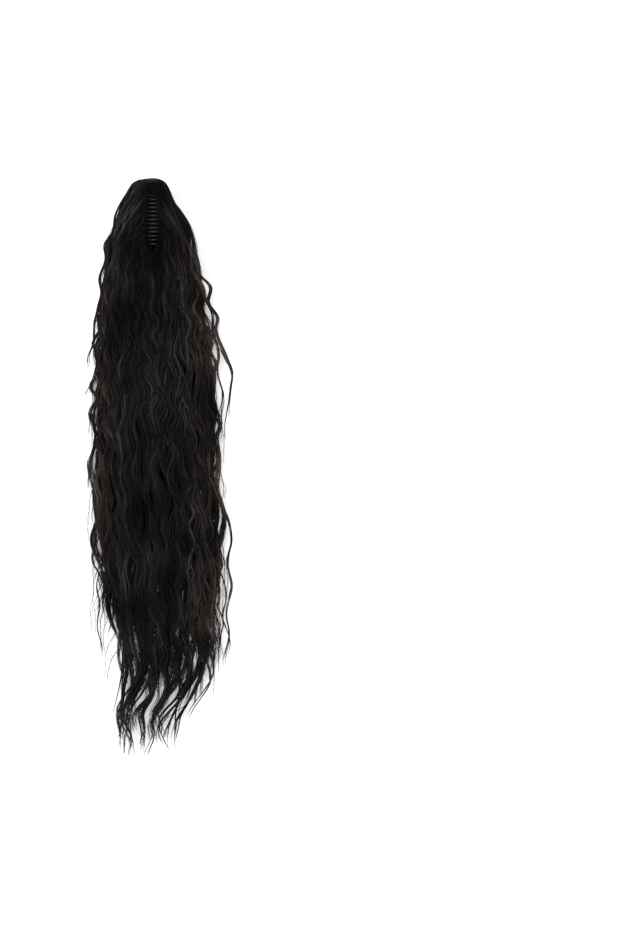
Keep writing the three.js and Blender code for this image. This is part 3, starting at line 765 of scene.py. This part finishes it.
def fibre_group():
    """Colour and roughness of hair: each strand's own tone, partly painted highlight, painted light and shade
    in patches and by place, browner sides and tips, fine streaks.
    """
    group = bpy.data.node_groups.new("fibre_tone", "ShaderNodeTree")
    for name, way, kind in (
        ("Dark", "INPUT", "NodeSocketColor"),
        ("Light", "INPUT", "NodeSocketColor"),
        ("Brown", "INPUT", "NodeSocketColor"),
        ("Streaks", "INPUT", "NodeSocketFloat"),
        ("Color", "OUTPUT", "NodeSocketColor"),
        ("Roughness", "OUTPUT", "NodeSocketFloat"),
        ("Height", "OUTPUT", "NodeSocketFloat"),
    ):
        group.interface.new_socket(name, in_out=way, socket_type=kind)
    shader = Shader(group)
    given = shader.nodes.new("NodeGroupInput")
    result = shader.nodes.new("NodeGroupOutput")
    shade = shader.attribute("shade")
    along = shader.nodes.new("ShaderNodeCombineXYZ")
    shader.links.new(shader.attribute("down"), along.inputs["Z"])
    around = shader.attribute("around", "Vector")
    ring = shader.vector_math("MULTIPLY_ADD", along.outputs["Vector"], (0, 0, 5), around)
    streaks = shader.noise(shader.vector_math("ADD", ring, shade), 6, 3)
    # Painted sheen and shade: noise patches that lighten and darken the hair's colour
    painted_light_patches = shader.ranged(shader.noise(shader.place(), 17, 1.5), 0.32, 0.68, 0.15, 1.85)

    streaked = shader.math("MULTIPLY", shader.ranged(streaks, 0.3, 0.75, 0, 1), given.outputs["Streaks"])
    # lit is each strand's own tone, whose lightest strands are partly painted highlight, then times painted
    # light and shade
    lit = shader.math("ADD", shader.math("POWER", shade, 4.0), streaked)
    # The noise patches times the per-point painted light and shade
    painted_lighting = shader.math("MULTIPLY", painted_light_patches, shader.attribute("painted_light"))
    lit = shader.math("MULTIPLY", lit, painted_lighting, clamp=True)
    fibre = shader.blended(lit, given.outputs["Dark"], given.outputs["Light"])
    own_hue = shader.math("FRACT", shader.math("MULTIPLY", shade, 37.0), 0.0)
    own_warmth = shader.ranged(own_hue, 0.5, 1, 0, 0.45)
    warm = shader.math("ADD", shader.attribute("warmth"), own_warmth, clamp=True)
    browned = shader.math("MULTIPLY", warm, lit)
    shader.links.new(shader.blended(browned, fibre, given.outputs["Brown"]), result.inputs["Color"])
    shader.links.new(shader.ranged(streaks, 0, 1, 0.36, 0.6), result.inputs["Roughness"])
    shader.links.new(streaks, result.inputs["Height"])
    return group


fibre_tone = fibre_group()


def new_material(name):
    material = bpy.data.materials.new(name)
    material.use_nodes = True
    return material, Shader(material.node_tree), material.node_tree.nodes["Principled BSDF"]


def hair_material(name, dark, light, brown, streaks, bump, gloss):
    """Hair fibre between a dark and a light tone, brown where it is warm."""
    material, shader, surface = new_material(name)
    tone = shader.nodes.new("ShaderNodeGroup")
    tone.node_tree = fibre_tone
    for socket, value in (("Dark", dark), ("Light", light), ("Brown", brown)):
        tone.inputs[socket].default_value = (*value, 1)
    tone.inputs["Streaks"].default_value = streaks
    shader.put(tone.outputs["Color"], surface.inputs["Base Color"])
    shader.put(tone.outputs["Roughness"], surface.inputs["Roughness"])
    shader.put(shader.relief(tone.outputs["Height"], 0.8, bump), surface.inputs["Normal"])
    surface.inputs["Specular IOR Level"].default_value = gloss
    return material


def plastic_material():
    """Black moulded plastic with a soft gloss."""
    material, shader, surface = new_material("black_plastic")
    grain = shader.noise(shader.place(), 900, 4)
    tint = shader.blended(grain, (0.0080, 0.0080, 0.0084, 1), (0.0130, 0.0130, 0.0137, 1))
    shader.put(tint, surface.inputs["Base Color"])
    shader.put(shader.ranged(grain, 0, 1, 0.3, 0.5), surface.inputs["Roughness"])
    shader.put(shader.relief(grain, 0.25, 0.05 * MM), surface.inputs["Normal"])
    surface.inputs["Specular IOR Level"].default_value = 0.25
    return material


def steel_material():
    """Plain drawn steel, brushed along its length."""
    material, shader, surface = new_material("drawn_steel")
    lines = shader.noise(shader.vector_math("MULTIPLY", shader.place(), (3000, 60, 3000)), 1)
    tint = shader.blended(lines, (0.15, 0.15, 0.16, 1), (0.30, 0.30, 0.31, 1))
    shader.put(tint, surface.inputs["Base Color"])
    shader.put(shader.ranged(lines, 0, 1, 0.3, 0.5), surface.inputs["Roughness"])
    surface.inputs["Metallic"].default_value = 1
    return material


# The light tone is partly the hair's own lighter strands and partly painted highlight
strand_fibre = hair_material("strand_fibre", dark=(0.0012, 0.0012, 0.0012), light=(0.088, 0.0832, 0.0790),
                             brown=(0.165, 0.119, 0.100), streaks=0.11, bump=0.0, gloss=0.08)
# Cores and caps: hair painted far darker than the strands, as painted shade inside the bundle
painted_shade_fibre = hair_material("painted_shade_fibre", dark=(0.0007, 0.0007, 0.0007), light=(0.0040, 0.0037, 0.0035),
                           brown=(0.008, 0.006, 0.005), streaks=0.5, bump=0.6 * MM, gloss=0.03)

for finish, names in (
    (plastic_material(), ("jaw_right", "jaw_left")),
    (steel_material(), ("hinge_pin", "hinge_spring")),
):
    for name in names:
        for material_slot in frame["nodes"][name].material_slots:
            material_slot.material = finish

for name in ("jaw_right", "jaw_left"):
    solid = frame["nodes"][name]
    weld = solid.modifiers.new("joined_faces", "WELD")
    weld.merge_threshold = 0.01 * MM
    bevel = solid.modifiers.new("rounded_edges", "BEVEL")
    bevel.width = EDGE_ROUNDING
    bevel.segments = 3
    bevel.limit_method = "ANGLE"
    bevel.angle_limit = math.radians(40)
    bevel.use_clamp_overlap = False


def crown_locks(side, count):
    """Locks sewn along one side of the parting. Those from the top end up at the outside."""
    locks = []
    for i in range(count):
        lane = side * mix(0.0, 0.985, (i + 0.5) / count)
        outer = abs(lane)
        reach = mix(1.015, 0.95, outer**3) - 0.15 * golden(3 * i + (side > 0)) ** 2
        if side < 0 and outer > 0.7:
            reach = 0.82 - 0.04 * golden(3 * i)
        strays = i >= count - STRAY_LOCKS
        late = i % 4 == 3
        start = mix(22, 66, golden(5 * i)) if late else mix(0, 4, golden(7 * i + 1)) * min(1, i / 3)
        locks.append(
            Lock(
                start=start * MM,
                end=HAIR_LENGTH * reach,
                seed=random.random(),
                lane=lane,
                inset=mix(1.5, 5, golden(2 * i)) * MM,
                bulge=(3.5 if strays else 0) * MM,
                phase=0.24 * (random.random() - 0.5) + (0.22 * (i - count + 2) if strays else 0),
                radius=LOCK_RADIUS * (0.9 if strays else mix(0.65, 1.25, golden(5 * i + 2))),
                stretch=mix(1, 0.8, outer**4) + 0.05 * (random.random() - 0.5),
                swing=mix(0.6, 1.05, random.random()) * mix(1, 1.3, outer**4),
                parting=(80 if late else mix(11, 7, outer)) * MM,
                on_jaw=True,
            )
        )
    return locks


def cover_locks(side, count):
    """Short locks that lie over the crown and lose themselves in the hair below it."""
    locks = []
    for i in range(count):
        outer = mix(0.3, 0.97, golden(i + 1))
        start = 0.8 * CROWN_LENGTH * (i / count) ** 1.3
        locks.append(
            Lock(
                start=start,
                end=start + mix(130, 240, golden(3 * i)) * MM,
                seed=random.random(),
                lane=side * outer,
                inset=mix(0.5, 3, golden(2 * i)) * MM,
                radius=LOCK_RADIUS,
                parting=mix(90, 60, golden(2 * i + 1)) * MM,
                on_jaw=True,
            )
        )
    return locks


def fall_locks(count):
    """Locks inside the bundle, which start under the crowns."""
    locks = []
    for i in range(count):
        lane = mix(-0.98, 0.98, (i + 0.5) / count)
        first, last = (62, 88) if abs(lane) > 0.62 else (84, 98)
        locks.append(
            Lock(
                start=mix(first, last, golden(2 * i)) * MM,
                end=HAIR_LENGTH * (mix(1.0, 0.88, abs(lane) ** 2) - 0.1 * golden(4 * i)),
                seed=random.random(),
                lane=lane,
                inset=mix(6, 22, golden(3 * i) ** 2) * MM,
                phase=0.3 * (random.random() - 0.5),
                radius=LOCK_RADIUS * mix(0.9, 1.3, golden(5 * i)),
                stretch=1 + 0.06 * (random.random() - 0.5),
            )
        )
    return locks


def side_locks(count):
    """Short locks that close both sides of the bundle, between the mat and the crowns."""
    locks = []
    for i in range(2 * count):
        share = (i // 2 + 0.5) / count
        locks.append(
            Lock(
                start=mix(5, 2, share) * MM,
                end=mix(180, 260, golden(i)) * MM,
                seed=random.random(),
                lane=(-1) ** i * mix(0.87, 0.985, share),
                inset=mix(3, 5, golden(2 * i)) * MM,
                bulge=-12 * MM,
                radius=4 * MM,
                root_share=0.9,
            )
        )
    return locks


def end_curtain(count):
    """Strands side by side under the clip's end, which fall from its hinge to the mat and run on along it."""
    left, right, _ = outline(np.array(0.0))
    rows = []
    for k in range(count):
        spread = mix(-left, right, (k + random.random()) / count) * CURTAIN[:, 0]
        along = HAIR_TOP - (CURTAIN[:, 1] + random.random()) * MM
        stop = np.arange(len(CURTAIN))
        steps = np.linspace(0, stop[-1], 40)
        columns = [curve_through(stop, column, steps) for column in (spread, along, CURTAIN[:, 2] * MM)]
        across, along, up, girth = resampled([*columns, np.full_like(steps, STRAND_RADIUS)], LOOSE_STEP)
        rows.append((np.stack([across, along, up], axis=1), girth, 0.5 * random.random()))
    return rows


def mat_locks(count):
    """Locks that lie on the table, under the clip and all the way down."""
    locks = []
    for i in range(count):
        lane = mix(-0.94, 0.94, (i + 0.5) / count)
        locks.append(
            Lock(
                start=2 * MM,
                end=HAIR_LENGTH * (0.92 - 0.12 * golden(3 * i)),
                seed=0.004 * i,
                lane=lane,
                height=mix(0.25, 0.75, golden(i)) * MAT_THICKNESS,
                phase=0.1 * (random.random() - 0.5),
                radius=LOCK_RADIUS * 1.5,
                root_share=0.85,
            )
        )
    return locks


def flyaways(count):
    """Single hairs that bow out over the bundle's sides."""
    locks = []
    for i in range(count):
        side = (-1) ** i
        start = mix(165, 540, golden(i)) * MM
        length = random.uniform(50, 110) * MM
        left, right, height = (float(value) for value in outline(np.array(start)))
        edge = (left if side < 0 else right) / MM
        bow = random.uniform(3, 10)
        stops = [
            (side * (edge - 9), start / MM),
            (side * (edge + 0.5 * bow), (start + 0.3 * length) / MM),
            (side * (edge + bow), (start + 0.65 * length) / MM),
            (side * (edge + random.uniform(0.4, 1.2) * bow), (start + length) / MM),
        ]
        locks.append(
            Lock(
                start=start,
                end=start + length,
                seed=random.random(),
                radius=0.4 * MM,
                stops=stops,
                lift=(0.3 * height / MM, 4),
            )
        )
    return locks


def carried(piece, body):
    """Hair of the root is attached to the root's body; hair on a jaw only has its transform baked into its
    mesh.
    """
    if body == "root":
        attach(piece, "root")
    else:
        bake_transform(piece)
    return piece


def add_strands(name, locks, strands, frizz, body, more=()):
    rows = [row for lock in locks for row in strands_of(lock, strands, frizz)]
    return carried(sweep(f"{name}_strands", [*rows, *more], strand_tree, strand_fibre), body)


def add_cores(name, locks, body):
    return carried(sweep(f"{name}_cores", [core_of(lock) for lock in locks], core_tree, painted_shade_fibre), body)


for side, jaw in ((-1, "left"), (1, "right")):
    body = f"{jaw}_jaw"
    locks = crown_locks(side, CROWN_LOCKS)
    add_strands(f"{jaw}_inner_hair", locks[:INNER_LOCKS], CROWN_STRANDS, OUTER_FRIZZ, body)
    add_strands(f"{jaw}_outer_hair", locks[INNER_LOCKS:], CROWN_STRANDS, OUTER_FRIZZ, body)
    add_strands(f"{jaw}_cover_hair", cover_locks(side, COVER_LOCKS), COVER_STRANDS, OUTER_FRIZZ, body)
    add_cores(f"{jaw}_hair", locks[:-STRAY_LOCKS], body)
    cap = carried(crown_cap(f"{jaw}_crown_cap", side), body)
    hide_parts(f"hair_crown_{jaw}")

locks = fall_locks(FALL_LOCKS)
fall = add_strands("fall_hair", locks, FALL_STRANDS, OUTER_FRIZZ, "root")
add_cores("fall_hair", locks, "root")
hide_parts("hair_fall")
add_strands("side_hair", side_locks(SIDE_LOCKS), SIDE_STRANDS, HIDDEN_FRIZZ, "root")
locks = mat_locks(MAT_LOCKS)
add_strands("mat_hair", locks, MAT_STRANDS, HIDDEN_FRIZZ, "root", more=end_curtain(CURTAIN_STRANDS))
add_cores("mat_hair", locks, "root")

loose = {"root": [], "left_jaw": [], "right_jaw": []}
for lock in flyaways(FLYAWAY_LOCKS):
    loose["root"] += strands_of(lock, FLYAWAY_STRANDS, FLYAWAY_FRIZZ)
for body, radius, strands, lift, stops in LOOSE_LOCKS:
    lock = Lock(
        start=stops[0][1] * MM,
        end=stops[-1][1] * MM,
        seed=random.random(),
        radius=radius * MM,
        on_jaw=body != "root",
        stops=stops,
        lift=lift,
    )
    loose[body] += strands_of(lock, strands, LOOSE_FRIZZ)
for body, rows in loose.items():
    carried(sweep(f"{body}_loose_hair", rows, strand_tree, strand_fibre), body)

# The photograph's frame, on this hairpiece. The clip's middle is in pixels from the top left corner.
PHOTO_WIDTH = 620
PHOTO_HEIGHT = 930
PIXEL = 1.146 * MM
CLIP_MIDDLE = (155, 216.9)
CAMERA_HEIGHT = 4.0
TABLE_HALF = 6

LAMPS = (
    # name, place, size, power
    ("soft_left", (-3.2, 1.0, 3.4), 2.0, 86),
    ("soft_right", (3.8, 0.4, 3.8), 2.4, 60),
    ("soft_top", (0.0, 3.4, 4.0), 2.4, 64),
)


def stage():
    """The white table, the lamps and the camera of the photograph."""
    floor_mesh = bpy.data.meshes.new("table")
    bm = bmesh.new()
    bmesh.ops.create_grid(bm, x_segments=1, y_segments=1, size=TABLE_HALF)
    bm.to_mesh(floor_mesh)
    bm.free()
    paper, _, surface = new_material("table_white")
    surface.inputs["Base Color"].default_value = (0.95, 0.95, 0.95, 1)
    surface.inputs["Roughness"].default_value = 0.8
    surface.inputs["Specular IOR Level"].default_value = 0.1
    surface.inputs["Emission Color"].default_value = (1, 1, 1, 1)
    surface.inputs["Emission Strength"].default_value = 0.25
    floor = new_piece("table", floor_mesh, paper)

    world = bpy.data.worlds.new("studio")
    world.use_nodes = True
    world.node_tree.nodes["Background"].inputs["Color"].default_value = (1, 1, 1, 1)
    world.node_tree.nodes["Background"].inputs["Strength"].default_value = 0.74
    bpy.context.scene.world = world

    across = (PHOTO_WIDTH / 2 - CLIP_MIDDLE[0]) * PIXEL
    along = (CLIP_MIDDLE[1] - PHOTO_HEIGHT / 2) * PIXEL
    middle = Vector((across, along, 0))
    for name, place, size, power in LAMPS:
        lamp = bpy.data.lights.new(name, "AREA")
        lamp.size = size
        lamp.energy = power
        lit = bpy.data.objects.new(name, lamp)
        lit.location = middle + Vector(place)
        lit.rotation_euler = (middle - lit.location).to_track_quat("-Z", "Y").to_euler()
        bpy.context.scene.collection.objects.link(lit)

    camera = bpy.data.cameras.new("camera")
    camera.sensor_fit = "VERTICAL"
    camera.sensor_height = 36
    camera.lens = camera.sensor_height * CAMERA_HEIGHT / (PHOTO_HEIGHT * PIXEL)
    camera.clip_end = 20
    eye = bpy.data.objects.new("camera", camera)
    eye.location = middle + Vector((0, 0, CAMERA_HEIGHT))
    bpy.context.scene.collection.objects.link(eye)
    bpy.context.scene.camera = eye
    bpy.context.scene.view_settings.view_transform = "Standard"


stage()
